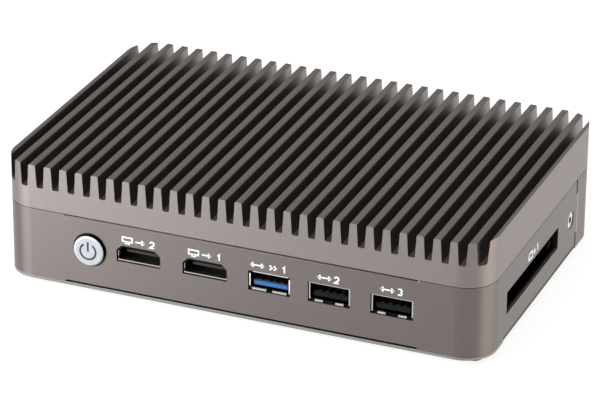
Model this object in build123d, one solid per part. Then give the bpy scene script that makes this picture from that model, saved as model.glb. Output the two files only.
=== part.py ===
from build123d import *
import math
import os

# Fanless industrial PC: a finned heatsink lid closes a wrap-round metal case, and the main board hangs
# from the lid with its sockets on the underside. Millimetres; X is the width, -Y the front, Z up from
# the desk. The origin is the bottom centre of the whole object.

# Case
case_width = 158.0
case_depth = 103.0
case_height = 38.4
corner_radius = 10.0
wall = 1.8
base_thickness = 1.0
lid_height = 14.6
rear_panel_depth = 18.2
seam_gap = 0.2
seam_notch_width = 0.7
seam_notch_top = 4.6
seam_notch_bottom = 4.8
relief_from_side = 21.5
relief_top = 0.35
relief_bottom = 0.65
relief_lip = 0.4
side_relief_start = 16.0
base_side_setback = 0.8
edge_break = 0.2

# Heatsink lid
slot_count = 30
slot_pitch = 5.25
slot_depth = 7.4
slot_mouth = 3.05
slot_floor = 2.15
slot_floor_radius = 0.5
lid_skirt = 3.0
lid_web = 4.6
pedestal_size = 44.0
lid_boss_radius = 3.2
tapped_depth = 6.0

# Case screws, their corner posts, and the rubber feet
post_from_corner = 3.7
post_radius = 3.5
screw_radius = 1.5
thread_clearance = 0.03
screw_clearance = 0.15
thin_head_radius = 3.0
thin_head_height = 0.8
driver_radius = 1.1
driver_depth = 0.5
foot_radius = 5.0
foot_height = 2.0
foot_inset_x = 19.0
foot_inset_y = 16.0

# Side screws that hold the rear panel's tabs
side_screw_ahead = 5.4
side_screw_height = 12.3
side_screw_length = 6.0
side_head_radius = 2.9
side_head_land = 0.3
tab_length = 8.3
tab_height = 7.5
tab_thickness = 2.4

# Bracket pattern in the base plate
bracket_spacing = 75.0
bracket_bore_radius = 1.65
bracket_shank_radius = 2.7
bracket_nut_radius = 3.4
bracket_nut_height = 1.5

# Power button and its switch
button_x = -49.1
button_height = 13.4
button_radius = 4.9
button_proud = 1.5
button_travel = 1.0
button_rim = 0.5
button_lip = 0.9
button_lip_thickness = 1.2
guide_clearance = 0.15
guide_wall = 0.45
guide_hole_clearance = 0.1
guide_recess = 0.5
guide_flange = 1.6
guide_flange_thickness = 1.2
switch_width = 6.2
switch_depth = 4.6
switch_drop = 3.1
plunger_radius = 1.75
plunger_clearance = 0.2
plunger_engagement = 1.4
end_clearance = 0.4

# Sockets that look out of the front wall
socket_recess = 0.5
video_x = (-32.9, -10.95)
video_width = 14.0
video_height = 4.95
video_corner_cut = 1.6
video_wall = 0.35
video_length = 11.0
video_tongue_width = 10.6
video_tongue_height = 1.2
video_tongue_recess = 2.4
video_block_length = 3.5
video_cutout_gap = 0.3
data_x = (10.05, 29.35, 49.35)
data_height_above_base = 13.7
data_width = 13.1
data_height = 5.7
data_wall = 0.35
data_length = 14.0
data_cutout_gap_side = 0.22
data_cutout_gap_top = 0.1
data_cutout_gap_bottom = 0.65
data_tongue_width = 11.1
data_tongue_height = 1.85
data_tongue_recess = 0.9
data_tongue_lift = 0.38
data_block_length = 4.6
data_contact_width = 1.0
data_contact_pitch = 2.33
data_contact_count = 4
data_contact_thickness = 0.2
data_contact_rise = 0.35
data_tab_width = 2.4
data_tab_spread = 3.3
data_tab_length = 5.2
data_tab_drop = 0.45
data_lip_reach = 0.3
data_lip_drop = 0.35
data_lip_widths = (4.6, 2.6, 2.6)

# Card socket behind the opening in the right side
card_width = 42.8
card_clearance = 0.2
card_slot_margin = 2.75
card_slot_height = 7.3
card_slot_above_base = 8.3
card_rail = 2.0
card_rail_length = 36.0
card_rail_bottom = 9.2
card_lip = 1.2
card_lip_thickness = 0.8
card_block_depth = 5.0
card_wall_gap = 0.4
card_contact_count = 24
card_contact_pitch = 1.27
card_contact_width = 0.5
card_contact_length = 4.0
card_contact_height = 0.5

# Main board, hung from four lid bosses
board_thickness = 1.6
board_wall_gap = 0.9
board_side_gap = 1.2
board_notch_gap = 0.5
board_hole_clearance = 0.2
board_head_radius = 2.6
board_head_height = 1.7
board_screw_bite = 5.0
left_boss_inset = 13.0
front_left_boss_setback = 14.0
rear_left_boss_setback = 21.0
front_right_boss_gap = 0.4
front_right_boss_setback = 12.5
rear_right_boss_inset = 10.5
rear_right_boss_setback = 13.5

# Processor under the lid's pedestal
processor_x = -12.0
processor_ahead = 1.5
substrate_size = 26.0
substrate_height = 1.0
die_size = 13.0
die_height = 0.8
pad_size = 20.0
pad_thickness = 0.5

# Memory, storage, battery and power parts on the board
memory_gap = 0.5
memory_length = 67.6
memory_width = 30.0
memory_thickness = 1.0
memory_lift = 1.6
memory_socket_width = 6.0
memory_socket_height = 4.0
memory_arm = 3.0
memory_arm_length = 25.5
memory_chip = (9.0, 11.0, 1.0)
memory_chip_count = 4
storage_x = -48.5
storage_from_front = 24.0
storage_length = 42.0
storage_width = 22.0
storage_thickness = 0.8
storage_lift = 2.2
storage_socket_depth = 6.5
storage_socket_height = 3.8
storage_chip = 12.0
storage_chip_setbacks = (9.0, 23.5)
storage_post_radius = 2.4
storage_head_height = 0.9
storage_head_radius = 2.2
cell_x = -45.0
cell_from_front = 58.0
cell_radius = 10.0
cell_thickness = 3.2
cell_clearance = 0.2
holder_wall = 1.6
holder_floor = 1.2
coil_count = 4
coil_pitch = 9.0
coil_size = 7.0
coil_height = 4.0
coil_gap = 0.5
capacitor_radius = 3.15
capacitor_height = 7.0
capacitor_gap = 1.25
capacitor_from_side = 17.0
capacitor_from_front = 40.0
capacitor_pitch = 8.0
chip_height = 1.2
rear_chips = ((-10.0, 10.0), (7.0, 12.0))
rear_chip_setback = 19.0
front_chips = ((-20.0, 9.0),)
front_chip_setback = 20.0

# Network jacks in the rear panel
network_from_serial = 32.0
network_pitch = 22.0
network_width = 15.9
network_height = 13.3
network_length = 21.0
network_wall = 0.3
network_proud = 0.4
network_cutout_gap = 0.25
network_bay_width = 11.8
network_bay_height = 7.0
network_bay_depth = 12.5
network_bay_below_top = 4.4
network_latch_width = 6.2
network_latch_height = 1.6
network_contact_count = 8
network_contact_pitch = 1.02
network_contact_width = 0.4
network_contact_drop = 2.0
network_light = (2.6, 1.8, 3.0)
network_light_below_top = 1.0

# Serial port in the rear panel
serial_from_inlet = 26.0
serial_height = 9.5
serial_flange_width = 30.8
serial_flange_height = 12.5
serial_flange_thickness = 0.8
serial_shell_width = 16.9
serial_shell_height = 8.3
serial_shell_wall = 0.5
serial_shell_slant = 10.0
serial_shell_reach = 5.9
serial_cutout_gap = 0.6
serial_body_width = 19.0
serial_body_height = 10.4
serial_body_depth = 7.0
serial_insulator_reach = 1.0
serial_pin_radius = 0.5
serial_pin_reach = 4.9
serial_pin_pitch = 2.77
serial_row_pitch = 2.84
serial_nut_spacing = 25.0
serial_nut_flat = 5.0
serial_nut_height = 4.8
serial_nut_bore_radius = 1.15
serial_stud_radius = 1.4

# Power inlet in the rear panel
inlet_from_side = 19.0
inlet_height = 9.5
inlet_bush_radius = 5.4
inlet_hole_clearance = 0.1
inlet_bush_reach = 3.4
inlet_shoulder_radius = 7.0
inlet_body_length = 12.0
inlet_bore_radius = 3.15
inlet_bore_depth = 9.5
inlet_pin_radius = 1.25
inlet_pin_recess = 1.0
inlet_nut_flat = 14.0
inlet_nut_height = 2.2

# Places that follow from the sizes above
front_y = -(case_depth + button_proud + serial_nut_height) / 2 + button_proud
rear_y = front_y + case_depth
middle_y = front_y + case_depth / 2
base_z = foot_height
base_top = base_z + base_thickness
case_top = base_z + case_height
lid_bottom = case_top - lid_height
slot_floor_z = case_top - slot_depth
pocket_roof = slot_floor_z - lid_web
board_bottom = base_z + data_height_above_base + data_height / 2
board_top = board_bottom + board_thickness
pedestal_bottom = board_top + substrate_height + die_height + pad_thickness
seam_y = rear_y - rear_panel_depth
mouth_y = front_y + socket_recess
relief_half_width = case_width / 2 - relief_from_side
inner_front = front_y + wall
inner_rear = rear_y - wall
inner_side = case_width / 2 - wall
post_inset = corner_radius - (corner_radius - post_from_corner) / math.sqrt(2)
post_x = case_width / 2 - post_inset
post_places = [
    (side * post_x, y) for side in (-1, 1) for y in (front_y + post_inset, rear_y - post_inset)
]
inlet_x = case_width / 2 - inlet_from_side
serial_x = inlet_x - serial_from_inlet
network_x = (serial_x - network_from_serial, serial_x - network_from_serial - network_pitch)
network_end_y = rear_y + network_proud - network_length
card_slot_width = card_width + 2 * card_slot_margin
card_y = (front_y + seam_y) / 2
processor_y = middle_y - processor_ahead
left_boss_x = left_boss_inset - case_width / 2
front_right_boss_x = data_x[-1] + data_width / 2 + front_right_boss_gap + board_head_radius
boss_places = [
    (left_boss_x, front_y + front_left_boss_setback),
    (left_boss_x, rear_y - rear_left_boss_setback),
    (front_right_boss_x, front_y + front_right_boss_setback),
    (case_width / 2 - rear_right_boss_inset, rear_y - rear_right_boss_setback),
]
beyond = 1.0


def about(centre, size):
    """Low and high limits of a span of the given size about its centre."""
    return (centre - size / 2, centre + size / 2)


def span(first, last):
    """Two limits in rising order."""
    return (min(first, last), max(first, last))


def block(x, y, z):
    """Box between low and high limits on each axis."""
    centre = Pos(sum(x) / 2, sum(y) / 2, sum(z) / 2)
    return centre * Box(x[1] - x[0], y[1] - y[0], z[1] - z[0])


def post(x, y, z, radius):
    """Upright cylinder between two heights."""
    return Pos(x, y, sum(z) / 2) * Cylinder(radius, z[1] - z[0])


def rod(x, y, z, radius):
    """Cylinder along Y between two depths."""
    return Pos(x, sum(y) / 2, z) * Rot(90, 0, 0) * Cylinder(radius, y[1] - y[0])


def cross_rod(x, y, z, radius):
    """Cylinder along X between two limits."""
    return Pos(sum(x) / 2, y, z) * Rot(0, 90, 0) * Cylinder(radius, x[1] - x[0])


def slab(width, depth, radius, z):
    """Plate with rounded upright corners, centred on the case."""
    outline = RectangleRounded(width, depth, radius)
    return Pos(0, middle_y, z[0]) * extrude(outline, z[1] - z[0])


def run_back(outline, x, y, z):
    """Carries an outline drawn in width and height along Y between two depths."""
    face = Plane(origin=(x, y[1], z), x_dir=(1, 0, 0), z_dir=(0, -1, 0))
    return extrude(face * outline, y[1] - y[0])


def run_across(points, x):
    """Carries a side profile of (y, z) points along X between two limits."""
    side = Plane(origin=(x[0], 0, 0), x_dir=(0, 1, 0), z_dir=(1, 0, 0))
    return extrude(side * polygon(points), x[1] - x[0])


def polygon(points):
    """Flat face inside a closed run of straight edges."""
    return make_face(Polyline(*points, close=True))


def group(pieces):
    """One node that holds several separate solids."""
    return Compound([solid for piece in pieces for solid in piece.solids()])


def hexagon_nut(x, y, z, across_flats, bore_radius):
    """Hexagonal nut along Y with a round bore."""
    outline = RegularPolygon(across_flats / math.sqrt(3), 6)
    return run_back(outline, x, y, z) - rod(x, (y[0] - beyond, y[1] + beyond), z, bore_radius)


# Heatsink lid: machined from one block, with tapered slots, a pocket below, a pedestal and bosses
def slot_outline():
    """Tapered slot with a radiused floor and broken upper edges, drawn about its floor's middle."""
    taper = (slot_mouth - slot_floor) / 2 / slot_depth
    break_z = slot_depth - edge_break
    half = slot_floor / 2
    right = [
        (half, 0),
        (half + taper * break_z, break_z),
        (slot_mouth / 2 + edge_break, slot_depth),
        (slot_mouth / 2 + edge_break, slot_depth + beyond),
    ]
    left = [(-x, z) for x, z in reversed(right)]
    face = polygon(right + left)
    floor_corners = face.vertices().sort_by(Axis.Y)[:2]
    return fillet(floor_corners, slot_floor_radius)


def heatsink_lid():
    lid = slab(case_width, case_depth, corner_radius, (lid_bottom, case_top))
    lid = chamfer(lid.edges().group_by(Axis.Z)[0], edge_break)
    inner_width = case_width - 2 * lid_skirt
    inner_depth = case_depth - 2 * lid_skirt
    lid -= slab(inner_width, inner_depth, corner_radius - lid_skirt, (lid_bottom - beyond, pocket_roof))
    for x, y in post_places:
        lid += post(x, y, (lid_bottom, pocket_roof), post_radius)
    lid += block(about(processor_x, pedestal_size), about(processor_y, pedestal_size),
                 (pedestal_bottom, pocket_roof))
    for x, y in boss_places:
        lid += post(x, y, (board_top, pocket_roof), lid_boss_radius)
    tapped_radius = screw_radius + thread_clearance
    for x, y in post_places:
        lid -= post(x, y, (lid_bottom - beyond, lid_bottom + tapped_depth), tapped_radius)
    for x, y in boss_places:
        lid -= post(x, y, (board_top - beyond, board_top + tapped_depth), tapped_radius)
    outline = slot_outline()
    first = -(slot_count - 1) / 2 * slot_pitch
    slots = [
        run_back(outline, first + index * slot_pitch, (front_y - beyond, rear_y + beyond), slot_floor_z)
        for index in range(slot_count)
    ]
    return lid - slots


# Wrap-round walls: the front frame and the rear panel share one section
def wall_ring():
    """Upright wall round the whole case, with a screw post in each corner."""
    ring = slab(case_width, case_depth, corner_radius, (base_top, lid_bottom))
    ring -= slab(case_width - 2 * wall, case_depth - 2 * wall, corner_radius - wall,
                 (base_top - beyond, lid_bottom + beyond))
    for x, y in post_places:
        ring += post(x, y, (base_top, lid_bottom), post_radius)
    for x, y in post_places:
        ring -= post(x, y, (base_top - beyond, lid_bottom + beyond), screw_radius + screw_clearance)
    return ring


def end_reliefs(face_y, inward):
    """Shallow gaps at the top and foot of the front or rear wall, with a bevelled upper lip."""
    y = span(face_y - beyond * inward, face_y + wall * inward)
    x = (-relief_half_width, relief_half_width)
    lip_z = lid_bottom - relief_top
    lip = [
        (face_y - beyond * inward, lip_z + beyond),
        (face_y - beyond * inward, lip_z - relief_lip - beyond),
        (face_y + (relief_lip + beyond) * inward, lip_z + beyond),
    ]
    return [
        block(x, y, (lip_z, lid_bottom + beyond)),
        block(x, y, (base_top - beyond, base_top + relief_bottom)),
        run_across(lip, x),
    ]


def video_outline(grow=0.0):
    """Video socket outline with slanted upper corners, grown evenly on every side."""
    half_width = video_width / 2 + grow
    half_height = video_height / 2 + grow
    cut = video_corner_cut + grow * (2 - math.sqrt(2))
    return polygon([
        (-half_width, -half_height),
        (half_width, -half_height),
        (half_width, half_height - cut),
        (half_width - cut, half_height),
        (-half_width + cut, half_height),
        (-half_width, half_height - cut),
    ])


def card_opening():
    """Opening for the card in the right side wall."""
    z = base_z + card_slot_above_base
    return block((inner_side - beyond, case_width / 2 + beyond),
                 about(card_y, card_slot_width), (z, z + card_slot_height))


def side_screw_hole(side):
    """Countersunk hole through one side wall."""
    y = seam_y - side_screw_ahead
    z = base_z + side_screw_height
    face_x = side * case_width / 2
    land_x = face_x - side * side_head_land
    hole = cross_rod(span(side * (inner_side - beyond), face_x), y, z, screw_radius + screw_clearance)
    sink_depth = side_head_radius - screw_radius
    sink = Cone(side_head_radius, screw_radius, sink_depth, align=(Align.CENTER, Align.CENTER, Align.MIN))
    land = cross_rod(span(land_x, face_x + side * beyond), y, z, side_head_radius)
    return [hole, Pos(land_x, y, z) * Rot(0, -90 * side, 0) * sink, land]


def front_frame():
    frame = wall_ring()
    half = case_width / 2 + beyond
    frame -= block((-half, half), (seam_y, rear_y + beyond), (base_top - beyond, lid_bottom + beyond))
    for side in (-1, 1):
        x = span(side * (inner_side - beyond), side * half)
        notch = (seam_y - seam_notch_width, seam_y + beyond)
        frame -= block(x, notch, (lid_bottom - seam_notch_top, lid_bottom + beyond))
        frame -= block(x, notch, (base_top - beyond, base_top + seam_notch_bottom))
        frame -= block(x, (front_y + side_relief_start, seam_y + beyond),
                       (base_top - beyond, base_top + relief_bottom))
        frame -= side_screw_hole(side)
    frame -= end_reliefs(front_y, 1)
    through = (front_y - beyond, inner_front + beyond)
    hole_radius = button_radius + guide_clearance + guide_wall + guide_hole_clearance
    frame -= rod(button_x, through, base_z + button_height, hole_radius)
    for x in video_x:
        frame -= run_back(video_outline(video_cutout_gap), x, through, board_bottom - video_height / 2)
    data_z = (board_bottom - data_height - data_cutout_gap_bottom, board_bottom + data_cutout_gap_top)
    for x in data_x:
        frame -= block(about(x, data_width + 2 * data_cutout_gap_side), through, data_z)
    return frame - card_opening()


def serial_outline(width, height):
    """Outline with its two short sides slanted in towards the top."""
    lean = height * math.tan(math.radians(serial_shell_slant))
    face = polygon([
        (-width / 2 + lean, -height / 2),
        (width / 2 - lean, -height / 2),
        (width / 2, height / 2),
        (-width / 2, height / 2),
    ])
    return fillet(face.vertices(), height / 4)


def rear_panel():
    panel = wall_ring()
    half = case_width / 2 + beyond
    start = seam_y + seam_gap
    panel -= block((-half, half), (front_y - beyond, start), (base_top - beyond, lid_bottom + beyond))
    tab_z = about(base_z + side_screw_height, tab_height)
    for side in (-1, 1):
        tab_x = span(side * inner_side, side * (inner_side - tab_thickness))
        panel += block(tab_x, (start - tab_length, start + tab_thickness), tab_z)
        hole_x = span(side * inner_side, side * (inner_side - tab_thickness - beyond))
        panel -= cross_rod(hole_x, seam_y - side_screw_ahead, base_z + side_screw_height,
                           screw_radius + thread_clearance)
    panel -= end_reliefs(rear_y, -1)
    through = (inner_rear - beyond, rear_y + beyond)
    network_z = (board_bottom - network_height - network_cutout_gap, board_bottom + network_cutout_gap)
    for x in network_x:
        panel -= block(about(x, network_width + 2 * network_cutout_gap), through, network_z)
    cut_width = serial_shell_width + 2 * serial_cutout_gap
    cut_height = serial_shell_height + 2 * serial_cutout_gap
    panel -= run_back(serial_outline(cut_width, cut_height), serial_x, through, base_z + serial_height)
    for side in (-1, 1):
        panel -= rod(serial_x + side * serial_nut_spacing / 2, through, base_z + serial_height,
                     serial_stud_radius + screw_clearance)
    panel -= rod(inlet_x, through, base_z + inlet_height, inlet_bush_radius + inlet_hole_clearance)
    return panel


# Base plate with its clinch nuts, feet and case screws
def bracket_places():
    half = bracket_spacing / 2
    return [(sx * half, middle_y + sy * half) for sx in (-1, 1) for sy in (-1, 1)]


def base_plate():
    plate = slab(case_width, case_depth, corner_radius, (base_z, base_top))
    plate = chamfer(plate.edges().group_by(Axis.Z)[-1], edge_break)
    half = case_width / 2
    for side in (-1, 1):
        x = span(side * (half - base_side_setback), side * (half + beyond))
        plate -= block(x, (front_y + side_relief_start, seam_y), (base_z - beyond, base_top + beyond))
    through = (base_z - beyond, base_top + beyond)
    for x, y in post_places:
        plate -= post(x, y, through, screw_radius + screw_clearance)
    for x, y in bracket_places():
        plate -= post(x, y, through, bracket_shank_radius)
    return plate


def bracket_nuts():
    nuts = []
    for x, y in bracket_places():
        nut = post(x, y, (base_z, base_top), bracket_shank_radius)
        nut += post(x, y, (base_top, base_top + bracket_nut_height), bracket_nut_radius)
        nut -= post(x, y, (base_z - beyond, base_top + bracket_nut_height + beyond), bracket_bore_radius)
        nuts.append(nut)
    return group(nuts)


def rubber_feet():
    x = case_width / 2 - foot_inset_x
    y = case_depth / 2 - foot_inset_y
    feet = []
    for sx in (-1, 1):
        for sy in (-1, 1):
            foot = post(sx * x, middle_y + sy * y, (0, foot_height), foot_radius)
            feet.append(chamfer(foot.edges().group_by(Axis.Z)[0], foot_height / 4))
    return group(feet)


def case_screws():
    screws = []
    tip = lid_bottom + tapped_depth - end_clearance
    for x, y in post_places:
        screw = post(x, y, (base_z, tip), screw_radius)
        head = post(x, y, (base_z - thin_head_height, base_z), thin_head_radius)
        head = chamfer(head.edges().group_by(Axis.Z)[0], edge_break)
        socket_z = (base_z - thin_head_height - beyond, base_z - thin_head_height + driver_depth)
        socket = Pos(x, y, socket_z[0]) * extrude(RegularPolygon(driver_radius, 6), socket_z[1] - socket_z[0])
        screws.append(screw + head - socket)
    return group(screws)


def side_screws():
    screws = []
    y = seam_y - side_screw_ahead
    z = base_z + side_screw_height
    sink_depth = side_head_radius - screw_radius
    profile = [
        (0, 0),
        (side_head_radius - thread_clearance, 0),
        (screw_radius, sink_depth),
        (screw_radius, side_screw_length),
        (0, side_screw_length),
    ]
    body = revolve(polygon(profile), Axis.Y)
    recess = extrude(RegularPolygon(driver_radius, 6), beyond + driver_depth)
    body -= Pos(0, driver_depth, 0) * Rot(90, 0, 0) * recess
    for side in (-1, 1):
        face_x = side * (case_width / 2 - side_head_land)
        screws.append(Pos(face_x, y, z) * Rot(0, 0, 90 * side) * body)
    return group(screws)


# Power button: a cap held by a guide behind the wall, on the plunger of a board-mounted switch
guide_back = inner_front + guide_flange_thickness
lip_back = guide_back + button_lip_thickness
switch_front = lip_back + button_travel + end_clearance


def power_button():
    z = base_z + button_height
    cap = rod(button_x, (front_y - button_proud, guide_back), z, button_radius)
    cap = chamfer(cap.edges().group_by(Axis.Y)[0], button_rim)
    return cap + rod(button_x, (guide_back, lip_back), z, button_radius + button_lip)


def button_guide():
    z = base_z + button_height
    bore = button_radius + guide_clearance
    guide = rod(button_x, (front_y + guide_recess, guide_back), z, bore + guide_wall)
    guide += rod(button_x, (inner_front, guide_back), z, bore + guide_wall + guide_flange)
    return guide - rod(button_x, (front_y - beyond, guide_back + beyond), z, bore)


def switch_plunger():
    y = (lip_back, switch_front + plunger_engagement)
    return rod(button_x, y, base_z + button_height, plunger_radius)


def switch_body():
    z = base_z + button_height
    body = block(about(button_x, switch_width), (switch_front, switch_front + switch_depth),
                 (z - switch_drop, board_bottom))
    bore_end = switch_front + plunger_engagement + button_travel + end_clearance
    return body - rod(button_x, (switch_front - beyond, bore_end), z, plunger_radius + plunger_clearance)


# Video sockets hang upside down below the board, so their slanted corners are at the top
def video_shell(x):
    z = board_bottom - video_height / 2
    back = mouth_y + video_length
    shell = run_back(video_outline(), x, (mouth_y, back), z)
    return shell - run_back(video_outline(-video_wall), x, (mouth_y - beyond, back - video_wall), z)


def video_insert(x):
    z = board_bottom - video_height / 2
    back = mouth_y + video_length - video_wall
    front = back - video_block_length
    insert = run_back(video_outline(-video_wall), x, (front, back), z)
    tongue = block(about(x, video_tongue_width), (mouth_y + video_tongue_recess, front),
                   about(z, video_tongue_height))
    return insert + chamfer(tongue.edges().group_by(Axis.Y)[0], edge_break)


# Data sockets: folded shell with two springs, insulator with a tongue in the lower half, contacts
def data_shell(x, lip_width):
    back = mouth_y + data_length
    bottom = board_bottom - data_height
    shell = block(about(x, data_width), (mouth_y, back), (bottom, board_bottom))
    shell -= block(about(x, data_width - 2 * data_wall), (mouth_y - beyond, back - data_wall),
                   (bottom + data_wall, board_bottom - data_wall))
    tab_root = back - data_block_length - data_wall
    tab_tip = tab_root - data_tab_length
    under = board_bottom - data_wall
    for side in (-1, 1):
        tab_x = x + side * data_tab_spread
        shell -= block(about(tab_x, data_tab_width + data_wall), (tab_tip - data_wall, tab_root),
                       (under - beyond / 2, board_bottom + beyond))
        spring = [
            (tab_root, under),
            (tab_root, board_bottom),
            (tab_tip, board_bottom - data_tab_drop),
            (tab_tip, under - data_tab_drop),
        ]
        shell += run_across(spring, about(tab_x, data_tab_width))
        lip = [
            (mouth_y, bottom),
            (mouth_y, bottom + data_wall),
            (mouth_y - data_lip_reach, bottom + data_wall - data_lip_drop),
            (mouth_y - data_lip_reach, bottom - data_lip_drop),
        ]
        shell += run_across(lip, about(tab_x, lip_width))
    return shell


def data_insert(x):
    back = mouth_y + data_length - data_wall
    floor = board_bottom - data_height + data_wall
    front = back - data_block_length
    insert = block(about(x, data_width - 2 * data_wall), (front, back), (floor, board_bottom - data_wall))
    tongue_z = floor + data_tongue_lift
    tongue = block(about(x, data_tongue_width), (mouth_y + data_tongue_recess, front),
                   (tongue_z, tongue_z + data_tongue_height))
    return insert + chamfer(tongue.edges().group_by(Axis.Y)[0], edge_break)


def data_contacts(x):
    back = mouth_y + data_length - data_wall - data_block_length
    top = board_bottom - data_height + data_wall + data_tongue_lift + data_tongue_height
    start = mouth_y + data_tongue_recess + 2 * edge_break
    rise = data_contact_rise
    thick = data_contact_thickness
    profile = [
        (start, top),
        (start + 3 * rise, top),
        (start + 5 * rise, top + rise),
        (start + 7 * rise, top),
        (back, top),
        (back, top + thick),
        (start + 7 * rise, top + thick),
        (start + 5 * rise, top + rise + thick),
        (start + 3 * rise, top + thick),
        (start, top + thick),
    ]
    first = x - (data_contact_count - 1) / 2 * data_contact_pitch
    return group([
        run_across(profile, about(first + index * data_contact_pitch, data_contact_width))
        for index in range(data_contact_count)
    ])


# Card socket: connector block with two lipped rails that lead the card in from the right
card_bay = card_width + 2 * card_clearance
card_mouth_x = inner_side - card_wall_gap
card_block_x = card_mouth_x - card_rail_length


def card_socket():
    z = (base_z + card_rail_bottom, board_bottom)
    full = card_bay + 2 * card_rail
    socket = block((card_block_x - card_block_depth, card_block_x), about(card_y, full), z)
    for side in (-1, 1):
        rail_y = card_y + side * (card_bay + card_rail) / 2
        socket += block((card_block_x, card_mouth_x), about(rail_y, card_rail), z)
        lip_y = card_y + side * (card_bay - card_lip) / 2
        lip_z = (z[0], z[0] + card_lip_thickness)
        socket += block((card_block_x, card_mouth_x), about(lip_y, card_lip), lip_z)
    return socket


def card_contacts():
    z = base_z + card_rail_bottom + card_lip_thickness + card_contact_length / 2
    first = card_y - (card_contact_count - 1) / 2 * card_contact_pitch
    x = (card_block_x, card_block_x + card_contact_length)
    return group([
        block(x, about(first + index * card_contact_pitch, card_contact_width), about(z, card_contact_height))
        for index in range(card_contact_count)
    ])


# Main board with corner notches round the screw posts, and what is soldered or plugged to it
def main_board():
    x = (board_side_gap - inner_side, inner_side - board_side_gap)
    y = (inner_front + board_wall_gap, inner_rear - board_wall_gap)
    board = block(x, y, (board_bottom, board_top))
    reach = post_radius + board_wall_gap
    for px, py in post_places:
        corner_x = span(px - math.copysign(reach, px), math.copysign(inner_side, px))
        corner_y = (py - reach, inner_rear) if py > middle_y else (inner_front, py + reach)
        board -= block(corner_x, corner_y, (board_bottom - beyond, board_top + beyond))
    guide_reach = button_radius + guide_clearance + guide_wall + guide_flange + board_notch_gap
    board -= block(about(button_x, 2 * guide_reach), (inner_front, switch_front),
                   (board_bottom - beyond, board_top + beyond))
    for px, py in boss_places:
        board -= post(px, py, (board_bottom - beyond, board_top + beyond),
                      screw_radius + board_hole_clearance)
    return board


def board_screws():
    screws = []
    for x, y in boss_places:
        screw = post(x, y, (board_bottom, board_top + board_screw_bite), screw_radius)
        head = post(x, y, (board_bottom - board_head_height, board_bottom), board_head_radius)
        screws.append(screw + chamfer(head.edges().group_by(Axis.Z)[0], board_head_height / 3))
    return group(screws)


def processor():
    package = block(about(processor_x, substrate_size), about(processor_y, substrate_size),
                    (board_top, board_top + substrate_height))
    die_z = board_top + substrate_height
    return package + block(about(processor_x, die_size), about(processor_y, die_size),
                           (die_z, die_z + die_height))


def thermal_pad():
    return block(about(processor_x, pad_size), about(processor_y, pad_size),
                 (pedestal_bottom - pad_thickness, pedestal_bottom))


coil_x = processor_x + pedestal_size / 2 + coil_gap + coil_size / 2
memory_left = coil_x + coil_size / 2 + memory_gap + memory_socket_width / 2
memory_z = about(board_top + memory_lift + memory_thickness / 2, memory_thickness)


def memory_socket():
    z = (board_top, board_top + memory_socket_height)
    full = memory_length + 2 * memory_arm
    socket = block(about(memory_left, memory_socket_width), about(middle_y, full), z)
    for side in (-1, 1):
        arm_y = middle_y + side * (memory_length + memory_arm) / 2
        socket += block((memory_left, memory_left + memory_arm_length), about(arm_y, memory_arm), z)
    slot_x = (memory_left, memory_left + memory_socket_width)
    return socket - block(slot_x, about(middle_y, memory_length), memory_z)


def memory_module():
    module = block((memory_left, memory_left + memory_width), about(middle_y, memory_length), memory_z)
    pitch = memory_length / memory_chip_count
    chip_x = memory_left + memory_width / 2 + memory_socket_width / 2
    for index in range(memory_chip_count):
        chip_y = middle_y + (index - (memory_chip_count - 1) / 2) * pitch
        module += block(about(chip_x, memory_chip[0]), about(chip_y, memory_chip[1]),
                        (memory_z[1], memory_z[1] + memory_chip[2]))
    return module


storage_y = front_y + storage_from_front
storage_z = about(board_top + storage_lift + storage_thickness / 2, storage_thickness)


def storage_socket():
    socket = block(about(storage_x, storage_width), (storage_y - storage_socket_depth, storage_y),
                   (board_top, board_top + storage_socket_height))
    return socket - block(about(storage_x, storage_width - 2 * storage_thickness),
                          (storage_y - storage_socket_depth / 2, storage_y + beyond), storage_z)


def storage_module():
    end = storage_y - storage_socket_depth / 2 + storage_length
    module = block(about(storage_x, storage_width - 2 * storage_thickness - edge_break),
                   (storage_y - storage_socket_depth / 2, end), storage_z)
    module -= post(storage_x, end, (storage_z[0] - beyond, storage_z[1] + beyond),
                   screw_radius + board_hole_clearance)
    chip_z = (storage_z[1], storage_z[1] + chip_height)
    for setback in storage_chip_setbacks:
        module += block(about(storage_x, storage_chip), about(storage_y + setback, storage_chip), chip_z)
    return module


def storage_standoff():
    end = storage_y - storage_socket_depth / 2 + storage_length
    return post(storage_x, end, (board_top, storage_z[0]), storage_post_radius)


def storage_screw():
    end = storage_y - storage_socket_depth / 2 + storage_length
    head = post(storage_x, end, (storage_z[1], storage_z[1] + storage_head_height), storage_head_radius)
    return head + post(storage_x, end, (storage_z[0], storage_z[1]), screw_radius)


def cell_holder():
    y = front_y + cell_from_front
    foot = board_bottom - holder_floor - cell_thickness
    bore = cell_radius + cell_clearance
    outer = post(cell_x, y, (foot, board_bottom), bore + holder_wall)
    return outer - post(cell_x, y, (foot - beyond, board_bottom - holder_floor), bore)


def coin_cell():
    z = (board_bottom - holder_floor - cell_thickness, board_bottom - holder_floor)
    cell = post(cell_x, front_y + cell_from_front, z, cell_radius)
    return chamfer(cell.edges().group_by(Axis.Z)[0], edge_break)


def power_coils():
    coils = []
    for index in range(coil_count):
        y = processor_y + (index - (coil_count - 1) / 2) * coil_pitch
        coil = block(about(coil_x, coil_size), about(y, coil_size), (board_top, board_top + coil_height))
        coils.append(chamfer(coil.edges().filter_by(Axis.Z), coil_size / 8))
    return group(coils)


def capacitors():
    """Two cans near the left wall, and one ahead of each network jack."""
    z = (board_bottom - capacitor_height, board_bottom)
    left = capacitor_from_side - case_width / 2
    places = [(x, front_y + capacitor_from_front) for x in (left, left + capacitor_pitch)]
    places += [(x, network_end_y - capacitor_gap - capacitor_radius) for x in network_x]
    return group([post(x, y, z, capacitor_radius) for x, y in places])


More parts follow.
